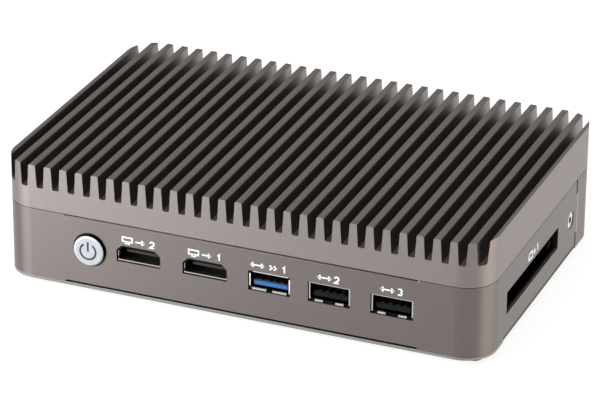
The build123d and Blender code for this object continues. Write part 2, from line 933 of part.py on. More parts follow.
def board_chips():
    z = (board_top, board_top + chip_height)
    places = [(x, rear_y - rear_chip_setback, size) for x, size in rear_chips]
    places += [(x, front_y + front_chip_setback, size) for x, size in front_chips]
    return group([block(about(x, size), about(y, size), z) for x, y, size in places])


# Network jacks: sheet shield, moulded housing with a plug bay below a latch channel, spring contacts
def network_shield(x):
    y = (network_end_y, rear_y + network_proud)
    z = (board_bottom - network_height, board_bottom)
    shield = block(about(x, network_width), y, z)
    return shield - block(about(x, network_width - 2 * network_wall), (y[0] + network_wall, y[1] + beyond),
                          (z[0] + network_wall, z[1] - network_wall))


def network_bay(x):
    """Plug bay and the stepped latch channel under it."""
    mouth = rear_y + network_proud
    top = board_bottom - network_bay_below_top
    floor = top - network_bay_height
    y = (mouth - network_bay_depth, mouth + beyond)
    bay = block(about(x, network_bay_width), y, (floor, top))
    return bay + block(about(x, network_latch_width), y, (floor - network_latch_height, floor))


def network_lights_of(x):
    """Pair of light windows in the jack's upper corners, as boxes."""
    width, height, depth = network_light
    mouth = rear_y + network_proud
    top = board_bottom - network_wall - network_light_below_top
    spread = (network_width - 2 * network_wall) / 2 - width
    return [
        block(about(x + side * spread, width), (mouth - depth, mouth), (top - height, top))
        for side in (-1, 1)
    ]


def network_housing(x):
    mouth = rear_y + network_proud
    housing = block(about(x, network_width - 2 * network_wall),
                    (network_end_y + network_wall, mouth),
                    (board_bottom - network_height + network_wall, board_bottom - network_wall))
    return housing - network_bay(x) - network_lights_of(x)


def network_contacts(x):
    mouth = rear_y + network_proud
    back = mouth - network_bay_depth
    top = board_bottom - network_bay_below_top
    thick = network_contact_width
    front = back + network_bay_depth * 0.7
    profile = [
        (front, top),
        (front - 2 * thick, top),
        (back, top - network_contact_drop),
        (back, top - network_contact_drop - thick),
        (front, top - thick),
    ]
    first = x - (network_contact_count - 1) / 2 * network_contact_pitch
    return group([
        run_across(profile, about(first + index * network_contact_pitch, network_contact_width))
        for index in range(network_contact_count)
    ])


def network_lights():
    return group([window for x in network_x for window in network_lights_of(x)])


# Serial port: flanged shell clamped behind the panel by two hexagonal jack nuts
serial_z = base_z + serial_height
serial_flange_y = (inner_rear - serial_flange_thickness, inner_rear)


def serial_shell():
    flange = RectangleRounded(serial_flange_width, serial_flange_height, serial_stud_radius)
    shell = run_back(flange, serial_x, serial_flange_y, serial_z)
    mouth = inner_rear + serial_shell_reach
    shell += run_back(serial_outline(serial_shell_width, serial_shell_height), serial_x,
                      (inner_rear, mouth), serial_z)
    inner_width = serial_shell_width - 2 * serial_shell_wall
    inner_height = serial_shell_height - 2 * serial_shell_wall
    shell -= run_back(serial_outline(inner_width, inner_height), serial_x,
                      (serial_flange_y[0] - beyond, mouth + beyond), serial_z)
    for side in (-1, 1):
        shell -= rod(serial_x + side * serial_nut_spacing / 2,
                     (serial_flange_y[0] - beyond, inner_rear + beyond), serial_z,
                     serial_stud_radius + screw_clearance)
    return shell


def serial_body():
    body = block(about(serial_x, serial_body_width),
                 (serial_flange_y[0] - serial_body_depth, serial_flange_y[0]),
                 about(serial_z, serial_body_height))
    inner_width = serial_shell_width - 2 * serial_shell_wall
    inner_height = serial_shell_height - 2 * serial_shell_wall
    y = (serial_flange_y[0], serial_flange_y[1] + serial_insulator_reach)
    return body + run_back(serial_outline(inner_width, inner_height), serial_x, y, serial_z)


def serial_pins():
    pins = []
    face_y = serial_flange_y[1] + serial_insulator_reach
    for row, count in ((-1, 4), (1, 5)):
        for index in range(count):
            x = serial_x + (index - (count - 1) / 2) * serial_pin_pitch
            z = serial_z + row * serial_row_pitch / 2
            pin = rod(x, (face_y, inner_rear + serial_pin_reach), z, serial_pin_radius)
            pins.append(chamfer(pin.edges().group_by(Axis.Y)[-1], serial_pin_radius / 2))
    return group(pins)


def serial_jack_nuts():
    nuts = []
    for side in (-1, 1):
        x = serial_x + side * serial_nut_spacing / 2
        nut = hexagon_nut(x, (rear_y, rear_y + serial_nut_height), serial_z, serial_nut_flat,
                          serial_nut_bore_radius)
        stud = rod(x, (serial_flange_y[0] - serial_flange_thickness, rear_y), serial_z, serial_stud_radius)
        nuts.append(nut + stud)
    return group(nuts)


# Power inlet: barrel jack whose threaded bush is nutted to the panel from outside
inlet_z = base_z + inlet_height


def inlet_body():
    mouth = rear_y + inlet_bush_reach
    body = rod(inlet_x, (inner_rear - inlet_body_length, inner_rear), inlet_z, inlet_shoulder_radius)
    body += rod(inlet_x, (inner_rear, mouth), inlet_z, inlet_bush_radius)
    return body - rod(inlet_x, (mouth - inlet_bore_depth, mouth + beyond), inlet_z, inlet_bore_radius)


def inlet_pin():
    mouth = rear_y + inlet_bush_reach
    pin = rod(inlet_x, (mouth - inlet_bore_depth, mouth - inlet_pin_recess), inlet_z, inlet_pin_radius)
    return chamfer(pin.edges().group_by(Axis.Y)[-1], inlet_pin_radius / 2)


def inlet_nut():
    return hexagon_nut(inlet_x, (rear_y, rear_y + inlet_nut_height), inlet_z, inlet_nut_flat,
                       inlet_bush_radius + inlet_hole_clearance)


nodes = {
    "heatsink_lid": heatsink_lid(),
    "front_frame": front_frame(),
    "rear_panel": rear_panel(),
    "base_plate": base_plate(),
    "bracket_nuts": bracket_nuts(),
    "rubber_feet": rubber_feet(),
    "case_screws": case_screws(),
    "side_screws": side_screws(),
    "power_button": power_button(),
    "button_guide": button_guide(),
    "switch_plunger": switch_plunger(),
    "switch_body": switch_body(),
    "card_socket": card_socket(),
    "card_contacts": card_contacts(),
    "main_board": main_board(),
    "board_screws": board_screws(),
    "processor": processor(),
    "thermal_pad": thermal_pad(),
    "memory_socket": memory_socket(),
    "memory_module": memory_module(),
    "storage_socket": storage_socket(),
    "storage_module": storage_module(),
    "storage_standoff": storage_standoff(),
    "storage_screw": storage_screw(),
    "cell_holder": cell_holder(),
    "coin_cell": coin_cell(),
    "power_coils": power_coils(),
    "capacitors": capacitors(),
    "board_chips": board_chips(),
    "network_lights": network_lights(),
    "serial_shell": serial_shell(),
    "serial_body": serial_body(),
    "serial_pins": serial_pins(),
    "serial_jack_nuts": serial_jack_nuts(),
    "inlet_body": inlet_body(),
    "inlet_pin": inlet_pin(),
    "inlet_nut": inlet_nut(),
}
for number, x in zip((2, 1), video_x):
    nodes[f"video_shell_{number}"] = video_shell(x)
    nodes[f"video_insert_{number}"] = video_insert(x)
for number, (x, lip_width) in enumerate(zip(data_x, data_lip_widths), start=1):
    nodes[f"data_shell_{number}"] = data_shell(x, lip_width)
    nodes[f"data_insert_{number}"] = data_insert(x)
    nodes[f"data_contacts_{number}"] = data_contacts(x)
for number, x in enumerate(network_x, start=1):
    nodes[f"network_shield_{number}"] = network_shield(x)
    nodes[f"network_housing_{number}"] = network_housing(x)
    nodes[f"network_contacts_{number}"] = network_contacts(x)

os.makedirs("parts", exist_ok=True)
for name, shape in nodes.items():
    export_step(shape, f"parts/{name}.step")
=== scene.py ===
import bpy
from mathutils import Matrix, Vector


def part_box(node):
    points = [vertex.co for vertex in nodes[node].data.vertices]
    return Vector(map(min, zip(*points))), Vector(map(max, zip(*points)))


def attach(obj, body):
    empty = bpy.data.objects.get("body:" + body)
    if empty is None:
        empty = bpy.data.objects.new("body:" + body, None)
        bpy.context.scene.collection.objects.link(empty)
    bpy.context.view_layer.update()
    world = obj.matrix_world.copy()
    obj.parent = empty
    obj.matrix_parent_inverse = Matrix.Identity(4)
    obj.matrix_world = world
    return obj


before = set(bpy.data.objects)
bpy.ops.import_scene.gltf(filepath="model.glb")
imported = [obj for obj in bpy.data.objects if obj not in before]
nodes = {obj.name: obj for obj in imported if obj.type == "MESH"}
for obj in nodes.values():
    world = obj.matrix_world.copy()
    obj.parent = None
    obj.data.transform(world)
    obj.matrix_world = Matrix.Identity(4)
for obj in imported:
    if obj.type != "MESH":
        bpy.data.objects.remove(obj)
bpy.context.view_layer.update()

import math

import bmesh
import bpy
import numpy as np
from mathutils import Matrix, Vector

# The view: the photograph's own viewpoint, a long lens from the front right and above, worked out from
# the fins and walls. The image is 600 by 400.
view_place = (0.3602, -0.89595, 0.47705)
view_turn = 21.99
view_drop = 25.424
view_roll = 0.457
view_lens = 205.0
view_sensor = 36.0

scene = bpy.context.scene
lens = bpy.data.cameras.new("view")
lens.lens = view_lens
lens.sensor_width = view_sensor
lens.clip_end = 50.0
camera = bpy.data.objects.new("view", lens)
scene.collection.objects.link(camera)
camera.matrix_world = (
    Matrix.Translation(view_place)
    @ Matrix.Rotation(math.radians(view_turn), 4, "Z")
    @ Matrix.Rotation(math.radians(90.0 - view_drop), 4, "X")
    @ Matrix.Rotation(math.radians(view_roll), 4, "Z")
)
scene.camera = camera
scene.view_settings.view_transform = "Standard"


# The studio: a sheet of white paper and soft boxes. Light Path adds the paper's white for the eye and for
# reflections alone, so it doesn't light the object, and the object's shadow still falls on the paper. The
# wall behind is white for the eye and grey as a light.
def linear(code):
    """Turns an sRGB hex colour into linear red, green, blue and alpha."""
    values = np.array([int(code[i:i + 2], 16) for i in (0, 2, 4)]) / 255.0
    curve = np.where(values <= 0.04045, values / 12.92, ((values + 0.055) / 1.055) ** 2.4)
    return (*curve.tolist(), 1.0)


def add(tree, kind, settings=None, **sockets):
    """Adds a node with its settings; a socket takes a plain value, or a link from another node's output.

    A socket is named, with _ for a space, or numbered, as i0, i1 and so on."""
    node = tree.nodes.new(kind)
    for name, value in (settings or {}).items():
        setattr(node, name, value)
    for name, value in sockets.items():
        key = int(name[1:]) if name[0] == "i" and name[1:].isdigit() else name.replace("_", " ")
        if isinstance(value, bpy.types.NodeSocket):
            tree.links.new(value, node.inputs[key])
        else:
            node.inputs[key].default_value = value
    return node


paper_albedo = 0.35
paper_white = 0.80
paper_half = 6.0
paper_mesh = bpy.data.meshes.new("paper")
corners = np.array([(-1, -1, 0), (1, -1, 0), (1, 1, 0), (-1, 1, 0)]) * paper_half
paper_mesh.from_pydata(corners.tolist(), [], [(0, 1, 2, 3)])
paper = bpy.data.objects.new("paper", paper_mesh)
scene.collection.objects.link(paper)
sheet = bpy.data.materials.new("matt white paper")
sheet.use_nodes = True
tree = sheet.node_tree
tree.nodes.clear()
path = add(tree, "ShaderNodeLightPath")
seen = add(tree, "ShaderNodeMath", {"operation": "MAXIMUM"}, i0=path.outputs["Is Camera Ray"],
           i1=path.outputs["Is Glossy Ray"])
seen = add(tree, "ShaderNodeMath", {"operation": "MAXIMUM"}, i0=seen.outputs[0],
           i1=path.outputs["Is Transmission Ray"])
glow = add(tree, "ShaderNodeMath", {"operation": "MULTIPLY"}, i0=seen.outputs[0], i1=paper_white)
matt = add(tree, "ShaderNodeBsdfDiffuse", Color=(paper_albedo, paper_albedo, paper_albedo, 1.0))
lit = add(tree, "ShaderNodeEmission", Color=(1.0, 1.0, 1.0, 1.0), Strength=glow.outputs[0])
both = add(tree, "ShaderNodeAddShader", i0=matt.outputs[0], i1=lit.outputs[0])
add(tree, "ShaderNodeOutputMaterial", Surface=both.outputs[0])
paper_mesh.materials.append(sheet)

world_light = 0.38
world = bpy.data.worlds.new("studio")
scene.world = world
world.use_nodes = True
sky = world.node_tree
background = sky.nodes["Background"]
background.inputs["Color"].default_value = (1.0, 1.0, 1.0, 1.0)
eye = add(sky, "ShaderNodeLightPath").outputs["Is Camera Ray"]
bright = add(sky, "ShaderNodeMapRange", Value=eye, i3=world_light, i4=1.0)
sky.links.new(bright.outputs[0], background.inputs["Strength"])

lamps = {
    "left_strip": ((-0.385, -0.42, 0.14), (0.36, 0.30), 4.7, (0.90, 0.98, 1.0)),
    "lip_box": ((-0.34, -0.43, 0.84), (0.25, 0.25), 0.8, (1.0, 1.0, 1.0)),
    "top_box": ((-0.10, 0.30, 1.60), (1.2, 0.8), 8.0, (0.94, 1.0, 0.89)),
    "right_box": ((1.39, 0.24, 0.17), (1.5, 0.3), 20.0, (1.0, 0.98, 0.86)),
}
lamp_aim = Vector((0.0, 0.0, 0.02))
for name, (place, size, power, tint) in lamps.items():
    light = bpy.data.lights.new(name, "AREA")
    light.shape = "RECTANGLE"
    light.size, light.size_y = size
    light.energy = power
    light.color = tint
    lamp = bpy.data.objects.new(name, light)
    scene.collection.objects.link(lamp)
    lamp.location = place
    lamp.rotation_euler = (lamp_aim - Vector(place)).to_track_quat("-Z", "Y").to_euler()


# The heatsink lid: one block of aluminium, milled, blasted with fine grit and anodised warm grey. The grit
# leaves an even speckle, drawn at 0.5 mm so that it shows, and the walls were brushed level before it.
def begin(name, metallic=0.0):
    """Starts a material and gives it back with its tree, its shader and the piece's own coordinates."""
    material = bpy.data.materials.new(name)
    material.use_nodes = True
    tree = material.node_tree
    shader = tree.nodes["Principled BSDF"]
    shader.inputs["Metallic"].default_value = metallic
    return material, tree, shader, add(tree, "ShaderNodeTexCoord").outputs["Object"]


def grained(name, code, rough, grain, depth, bump=0.0, metallic=1.0, brushed=0.0):
    """Plated, anodised or coated metal: a noise of the given grain, in millimetres along X, Y and Z, varies
    its colour by the given depth, its roughness and its height (bump, millimetres). Brushed metal spreads
    its highlights upright, across its level lines."""
    gloss_vary = 0.04
    material, tree, shader, place = begin(name, metallic)
    scale = tuple(1000.0 / size for size in grain)
    spread = add(tree, "ShaderNodeMapping", Vector=place, Scale=scale)
    noise = add(tree, "ShaderNodeTexNoise", Vector=spread.outputs[0], Scale=1.0, Detail=3.0, Roughness=0.6)
    colour = np.array(linear(code)[:3])
    dark = (*(colour * (1 - depth)).tolist(), 1.0)
    pale = (*np.minimum(colour * (1 + depth), 1.0).tolist(), 1.0)
    tone = add(tree, "ShaderNodeMix", {"data_type": "RGBA"}, i0=noise.outputs["Fac"], i6=dark, i7=pale)
    tree.links.new(tone.outputs[2], shader.inputs["Base Color"])
    gloss = add(tree, "ShaderNodeMapRange", Value=noise.outputs["Fac"], i3=rough - gloss_vary,
                i4=rough + gloss_vary)
    tree.links.new(gloss.outputs[0], shader.inputs["Roughness"])
    if bump:
        relief = add(tree, "ShaderNodeBump", Height=noise.outputs["Fac"], Strength=1.0, Distance=bump / 1000)
        tree.links.new(relief.outputs[0], shader.inputs["Normal"])
    if brushed:
        shader.inputs["Anisotropic"].default_value = brushed
        upright = add(tree, "ShaderNodeCombineXYZ", X=0.0, Y=0.05, Z=1.0)
        tree.links.new(upright.outputs[0], shader.inputs["Tangent"])
    return material


def dress(names, material):
    """Gives CAD nodes their material."""
    for name in names:
        nodes[name].data.materials.clear()
        nodes[name].data.materials.append(material)


lid_grit = (0.5, 0.5, 0.5)
dress(["heatsink_lid"], grained("blasted and anodised aluminium", "857C7A", 0.42, lid_grit, 0.14, bump=0.004,
                                brushed=0.5))

# The front frame and the rear panel: aluminium strip, brushed level, bent round the corners and anodised. The
# brushing spreads reflections upright. Highlights are painted into the colour: a lighter line down the
# upright seam between its two notches, and near white along the card opening's sill and at the right end of
# the gap below the lid.
def mixed(tree, share, first, second):
    """Blends two colours by a share from 0 to 1."""
    return add(tree, "ShaderNodeMix", {"data_type": "RGBA"}, i0=share, i6=first, i7=second).outputs[2]


def patched(material, boxes, code, soft=0.06):
    """Gives what lies inside any of some boxes another colour, its edges soft over a width in millimetres.

    A box is two corners, in metres. A point lies outside it by the greatest of its distances from the box's
    middle along X, Y and Z, each less half the box's size."""
    tree = material.node_tree
    shader = tree.nodes["Principled BSDF"]
    place = add(tree, "ShaderNodeTexCoord").outputs["Object"]
    share = 0.0
    for corner_low, corner_high in boxes:
        low, high = np.array(corner_low), np.array(corner_high)
        off = add(tree, "ShaderNodeVectorMath", {"operation": "SUBTRACT"}, i0=place,
                  i1=((low + high) / 2).tolist())
        off = add(tree, "ShaderNodeVectorMath", {"operation": "ABSOLUTE"}, i0=off.outputs[0])
        off = add(tree, "ShaderNodeVectorMath", {"operation": "SUBTRACT"}, i0=off.outputs[0],
                  i1=((high - low) / 2).tolist())
        off = add(tree, "ShaderNodeSeparateXYZ", Vector=off.outputs[0])
        far = add(tree, "ShaderNodeMath", {"operation": "MAXIMUM"}, i0=off.outputs[0], i1=off.outputs[1])
        far = add(tree, "ShaderNodeMath", {"operation": "MAXIMUM"}, i0=far.outputs[0], i1=off.outputs[2])
        near = add(tree, "ShaderNodeMapRange", Value=far.outputs[0], i1=soft / 2000, i2=-soft / 2000)
        share = add(tree, "ShaderNodeMath", {"operation": "MAXIMUM"}, i0=near.outputs[0], i1=share).outputs[0]
    base = shader.inputs["Base Color"].links[0].from_socket
    tree.links.new(mixed(tree, share, base, linear(code)), shader.inputs["Base Color"])
    return material


wall_code = "736A68"
wall_grain = (18.0, 18.0, 0.22)
seam_strip = 0.0012
seam_notch = 0.0047
glint = (0.0571, 0.0577)
glint_depth = 0.0003
glint_height = 0.0004
sill_drop = 0.0009
sill_depth = 0.0010
sill_half = 0.00006
sill_overlap = 0.001
frame_low, frame_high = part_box("front_frame")
card_low, card_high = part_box("card_socket")
sill_top = card_low.z - sill_drop
front_skin = grained("brushed and anodised aluminium", wall_code, 0.38, wall_grain, 0.10, bump=0.003,
                     brushed=0.7)
# Painted highlights in near white: a glint at the right end of the gap below the lid, and a thin line along
# the card opening's sill.
dress(["front_frame"], patched(front_skin, [
    ((glint[0], -1.0, frame_high.z - glint_height), (glint[1], frame_low.y + glint_depth, 1.0)),
    ((frame_high.x - sill_depth, card_low.y - sill_overlap, sill_top - sill_half),
     (frame_high.x - sill_half, card_high.y + sill_overlap, sill_top + sill_half)),
], "FFF8F0"))
panel_skin = grained("brushed aluminium with a painted seam highlight", wall_code, 0.38, wall_grain, 0.10, bump=0.003,
                     brushed=0.7)
# The rear panel's front edge between its notches is painted lighter, a painted highlight.
seam_highlight = ((-1.0, frame_high.y, frame_low.z + seam_notch),
            (1.0, frame_high.y + seam_strip, frame_high.z - seam_notch))
dress(["rear_panel"], patched(panel_skin, [seam_highlight], "A89F9A"))

# The base plate: aluminium sheet with rounded corners, blasted and left a pale silver, so that its edge is a
# light line below the walls. The grit shows as a fine, even speckle, and the inner face is painted black as
# shade, where it shows in the gap under the walls.
inner_shade_film = 0.00004
inner_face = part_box("base_plate")[1].z - inner_shade_film
dress(["base_plate"],
      patched(grained("blasted aluminium sheet", "8F8C88", 0.45, (0.4, 0.4, 0.4), 0.10, bump=0.004),
              [((-1.0, -1.0, inner_face), (1.0, 1.0, 1.0))], "0B0A0A"))

# What is fixed in the base: four zinc plated clinch nuts for a bracket, and four screws, plated and then
# blackened, that come up through the corner posts into the lid. Plating looks even, with a slight sparkle.
zinc = grained("zinc plated steel", "B9B7B2", 0.30, (0.6, 0.6, 0.6), 0.08, bump=0.002)
dress(["bracket_nuts", "board_screws", "storage_standoff", "storage_screw"], zinc)
dress(["case_screws"], grained("black zinc plated steel", "4A4846", 0.35, (0.6, 0.6, 0.6), 0.10, bump=0.002))


# The feet: four soft discs of black rubber, moulded and stuck on below the base plate. Rubber is matt and
# slightly dusty, with a coarse grain from its mould.
def moulded(name, code, rough=0.45, grain=0.4, bump=0.004, specular=0.5):
    """Moulded plastic or rubber: the mould's spark-eroded grain, in millimetres, shows in gloss and height.
    A specular level below 0.5 is for plastic that dust has dulled."""
    tone_vary = 0.08
    gloss_vary = 0.05
    material, tree, shader, place = begin(name)
    shader.inputs["Specular IOR Level"].default_value = specular
    colour = np.array(linear(code)[:3])
    noise = add(tree, "ShaderNodeTexNoise", Vector=place, Scale=1000.0 / grain, Detail=2.0)
    tone = add(tree, "ShaderNodeMix", {"data_type": "RGBA"}, i0=noise.outputs["Fac"],
               i6=(*(colour * (1 - tone_vary)).tolist(), 1.0),
               i7=(*np.minimum(colour * (1 + tone_vary), 1.0).tolist(), 1.0))
    tree.links.new(tone.outputs[2], shader.inputs["Base Color"])
    gloss = add(tree, "ShaderNodeMapRange", Value=noise.outputs["Fac"], i3=rough - gloss_vary,
                i4=rough + gloss_vary)
    tree.links.new(gloss.outputs[0], shader.inputs["Roughness"])
    relief = add(tree, "ShaderNodeBump", Height=noise.outputs["Fac"], Strength=1.0, Distance=bump / 1000)
    tree.links.new(relief.outputs[0], shader.inputs["Normal"])
    return material


dress(["rubber_feet"], moulded("moulded rubber", "1C1B1A", 0.7, 0.6, 0.01))

# The side screws: countersunk steel, turned and zinc plated, one through each side wall beside the seam. The
# head is a bright ring round a recess for the key, and the recess is painted dark as shade.
head_half = 0.0010
screw_low, screw_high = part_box("side_screws")
screw_mid = (screw_low + screw_high) / 2
head_skin = grained("turned and zinc plated steel", "E8E5DE", 0.25, (0.3, 0.3, 0.3), 0.06)
recess_shade = ((-1.0, screw_mid.y - head_half, screw_mid.z - head_half),
          (1.0, screw_mid.y + head_half, screw_mid.z + head_half))
dress(["side_screws"], patched(head_skin, [recess_shade], "1E1D1C"))


# The power button: a moulded cap in a thin silver rim, with a black side, in a black guide ring. The rim is
# painted near white: its silver, with a painted highlight on its bevel. It is pressed back 1 mm, and its mark
# is printed in slate ink, so the mark rides with the cap.
def step(tree, value, edge, soft):
    """Goes from 0 to 1 as a value passes an edge, over a soft width; lengths are in millimetres."""
    return add(tree, "ShaderNodeMapRange", Value=value, i1=(edge - soft / 2) / 1000,
               i2=(edge + soft / 2) / 1000).outputs[0]


cap_low, cap_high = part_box("power_button")
cap_x = (cap_low.x + cap_high.x) / 2
cap_z = (cap_low.z + cap_high.z) / 2
cap_front = cap_low.y
cap_rim_inside = 4.32
cap_rim_soft = 0.06
cap_side_start = 0.55
cap_side_soft = 0.05
cap_skin, tree, shader, place = begin("moulded cap with a silver rim and a painted highlight")
centred = add(tree, "ShaderNodeMapping", Vector=place, Location=(-cap_x, -cap_front, -cap_z))
flat = add(tree, "ShaderNodeVectorMath", {"operation": "MULTIPLY"}, i0=centred.outputs[0], i1=(1.0, 0.0, 1.0))
radius = add(tree, "ShaderNodeVectorMath", {"operation": "LENGTH"}, i0=flat.outputs[0])
depth = add(tree, "ShaderNodeSeparateXYZ", Vector=centred.outputs[0])
on_rim = step(tree, radius.outputs["Value"], cap_rim_inside, cap_rim_soft)
on_side = step(tree, depth.outputs["Y"], cap_side_start, cap_side_soft)
face_noise = add(tree, "ShaderNodeTexNoise", Vector=place, Scale=2500.0, Detail=2.0)
face_tone = mixed(tree, face_noise.outputs["Fac"], linear("B1B0B6"), linear("BCBAC0"))
# The rim's near white is partly its silver and partly a painted highlight on the bevel.
skin = mixed(tree, on_side, mixed(tree, on_rim, face_tone, linear("E0E0DE")), linear("202022"))
tree.links.new(skin, shader.inputs["Base Color"])
tree.links.new(on_side, shader.inputs["Metallic"])
shader.inputs["Roughness"].default_value = 0.25
dress(["power_button"], cap_skin)
dress(["button_guide"], moulded("black moulded ring", "0E0E0E", 0.35))


def stroke(path, width, closed=False):
    """A flat stroke of ink: a rectangle as wide as the stroke, carried along a path in the printed plane.

    Each point's two sides lie half a width off, along the mean of its two runs' normals, lengthened by one
    over the cosine of half the turn. Gives (across, up, rise) points, rise 0 or 1, and the faces."""
    path = np.asarray(path, float)
    runs = np.roll(path, -1, 0) - path if closed else np.diff(path, axis=0)
    before = np.roll(runs, 1, 0) if closed else np.vstack([runs[:1], runs])
    after = runs if closed else np.vstack([runs, runs[-1:]])
    before = before / np.linalg.norm(before, axis=1, keepdims=True)
    after = after / np.linalg.norm(after, axis=1, keepdims=True)
    mean = before + after
    mean = mean / np.linalg.norm(mean, axis=1, keepdims=True)
    side = np.column_stack([-mean[:, 1], mean[:, 0]]) * (width / 2 / (mean * after).sum(1))[:, None]
    count = len(path)
    left, right = path + side, path - side
    low, high = np.zeros((count, 1)), np.ones((count, 1))
    rings = np.stack([np.hstack([left, low]), np.hstack([left, high]), np.hstack([right, high]),
                      np.hstack([right, low])], axis=1)
    station = np.arange(count if closed else count - 1)[:, None]
    corner = np.arange(4)[None, :]
    after_station = (station + 1) % count
    faces = np.stack([station * 4 + corner, station * 4 + (corner + 1) % 4,
                      after_station * 4 + (corner + 1) % 4, after_station * 4 + corner], axis=-1)
    faces = faces.reshape(-1, 4)
    if not closed:
        last = (count - 1) * 4
        faces = np.vstack([faces, [[3, 2, 1, 0]], [[last, last + 1, last + 2, last + 3]]])
    return rings.reshape(-1, 3), faces


def arc(centre, radius, first, last, count=24):
    """Points on a circle: its centre plus its radius times the cosine across and the sine up, at angles
    evenly spaced from the first to the last, in degrees anticlockwise from the right."""
    angle = np.radians(np.linspace(first, last, count))
    return np.column_stack([centre[0] + radius * np.cos(angle), centre[1] + radius * np.sin(angle)])


def printed(name, strokes, place, across, out, material, body, film=0.02):
    """Joins strokes of ink into one piece on a flat face: place is its middle, in metres, and strokes are in
    millimetres along the across direction and up. The film stands out from the face, in millimetres."""
    points = []
    faces = []
    for stroke_points, stroke_faces in strokes:
        faces.append(stroke_faces + sum(len(group) for group in points))
        points.append(stroke_points)
    flat = np.vstack(points)
    sides = np.array([across, (0, 0, 1), out], float)
    solid = np.array(place) + flat[:, :1] / 1000 * sides[0] + flat[:, 1:2] / 1000 * sides[1]
    solid += flat[:, 2:] * film / 1000 * sides[2]
    mesh = bpy.data.meshes.new(name)
    mesh.from_pydata(solid.tolist(), [], np.vstack(faces).tolist())
    form = bmesh.new()
    form.from_mesh(mesh)
    bmesh.ops.recalc_face_normals(form, faces=form.faces)
    form.to_mesh(mesh)
    form.free()
    mesh.materials.append(material)
    piece = bpy.data.objects.new(name, mesh)
    scene.collection.objects.link(piece)
    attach(piece, body)


symbol_radius = 2.60
symbol_gap = 34.0
symbol_stroke = 0.62
symbol_bar = 3.15
slate_ink = moulded("slate screen ink", "1E2026", 0.5, 0.2, 0.001)
printed("power_mark",
        [stroke(arc((0, 0), symbol_radius, 90 + symbol_gap, 450 - symbol_gap, 48), symbol_stroke),
         stroke([(0.0, symbol_bar), (0.0, 0.0)], symbol_stroke)],
        (cap_x, cap_front, cap_z), (1, 0, 0), (0, -1, 0), slate_ink, "button")

# The switch behind it: a plunger and a body of black nylon, moulded, on the main board. The other black
# sockets and holders inside are the same stuff, with glass fibre in it, so they look satin.
nylon = moulded("black glass-filled nylon", "141413", 0.4)
dress(["switch_plunger", "switch_body", "memory_socket", "storage_socket", "cell_holder"], nylon)


# The video sockets: steel sheet, tin plated and folded, round a black insert. The shell lies in shadow, and
# that shade is painted into its dark colour; its lower lip and a spring finger in its left wall have painted
# highlights.
shell_shade = "24221F"
lip_height = 0.0005
finger_glint = ((0.0, 0.0, 0.0014), (0.0005, 0.0012, 0.0031))
for number in (1, 2):
    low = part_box(f"video_shell_{number}")[0]
    tin = grained("tin plated steel sheet, painted shade and highlights", shell_shade, 0.3, (0.7, 0.7, 0.7), 0.10)
    # Painted highlights: the lower lip and the spring finger are light on the shell's painted shade.
    lip_highlights = [((-1.0, -1.0, -1.0), (1.0, 1.0, low.z + lip_height)),
            ((np.array(low) + finger_glint[0]).tolist(), (np.array(low) + finger_glint[1]).tolist())]
    dress([f"video_shell_{number}"], patched(tin, lip_highlights, "B9B4AB", 0.1))
dress(["video_insert_1", "video_insert_2"], moulded("black liquid crystal polymer", "1B1A19", 0.35, 0.3))

# The data sockets: bright nickel plated sheet, folded, with springs and lips, round moulded inserts. Away
# from the mouth all of it is in shadow, and that shade is painted dark into the shells, the tongues and the
# contacts; the first shell's front edge has a painted highlight. The first insert is blue and the others
# black.
nickel = grained("nickel plated sheet steel", "C9C6BF", 0.25, (2.0, 0.3, 0.3), 0.06)
gold = grained("gold plated bronze", "E0B866", 0.22, (0.3, 1.0, 0.3), 0.06)
mouth_inset = 0.0003
edge_depth = 0.0003
bright_depth = 0.0006
bright_wall = (0.0006, 0.0017)
tongue_edge = 0.0003
tongue_shade = 0.0018
floor_inset = 0.0004
floor_lead = 0.0001
floor_top = 0.0008
corner_left = (0.0012, 0.0010)
corner_right = (0.0006, 0.0009)
for number, code, shade, gloss in ((1, "2B68A2", "0A1830", 0.5), (2, "0E0F10", "070707", 0.15),
                                   (3, "0E0F10", "070707", 0.15)):
    low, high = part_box(f"data_shell_{number}")
    mouth = low.y + mouth_inset
    left = low.x + bright_wall[0] if number == 1 else -1.0
    # Painted shade: behind the mouth and on the floor's front edge, the shell's colour is painted dark.
    painted_shade = [((left, mouth + bright_depth, -1.0), (1.0, 1.0, 1.0)),
            ((-1.0, mouth + bright_wall[1], -1.0), (1.0, 1.0, 1.0)),
            ((low.x + floor_inset, mouth - floor_lead, -1.0), (high.x - floor_inset, 1.0, low.z + floor_top))]
    shell = grained("nickel plated sheet steel, painted shade inside", "C0BDB6", 0.25, (2.0, 0.3, 0.3), 0.06)
    # On the first shell the front edge is painted near white as a highlight, and the upper corners and lower
    # left are painted dark as shade.
    if number == 1:
        shell = patched(shell, [((-1.0, -1.0, low.z + corner_left[1]), (1.0, mouth + edge_depth, 1.0))],
                        "FFFCF4")
        painted_shade += [((-1.0, -1.0, high.z - corner_left[1]), (low.x + corner_left[0], 1.0, 1.0)),
                 ((high.x - corner_right[0], -1.0, high.z - corner_right[1]), (1.0, 1.0, 1.0)),
                 ((-1.0, -1.0, -1.0), (low.x + floor_inset, 1.0, low.z + corner_left[1]))]
    dress([f"data_shell_{number}"], patched(shell, painted_shade, "1A1816", 0.2))
    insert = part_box(f"data_insert_{number}")[0]
    # Painted shade: each tongue is painted darker behind its front edge and along its top.
    tongue = [((-1.0, insert.y + tongue_edge, -1.0), (1.0, 1.0, 1.0)),
              ((-1.0, -1.0, insert.z + tongue_shade), (1.0, 1.0, 1.0))]
    skin = moulded("glass-filled nylon tongue", code, 0.35, specular=gloss)
    dress([f"data_insert_{number}"], patched(skin, tongue, shade, 0.25))
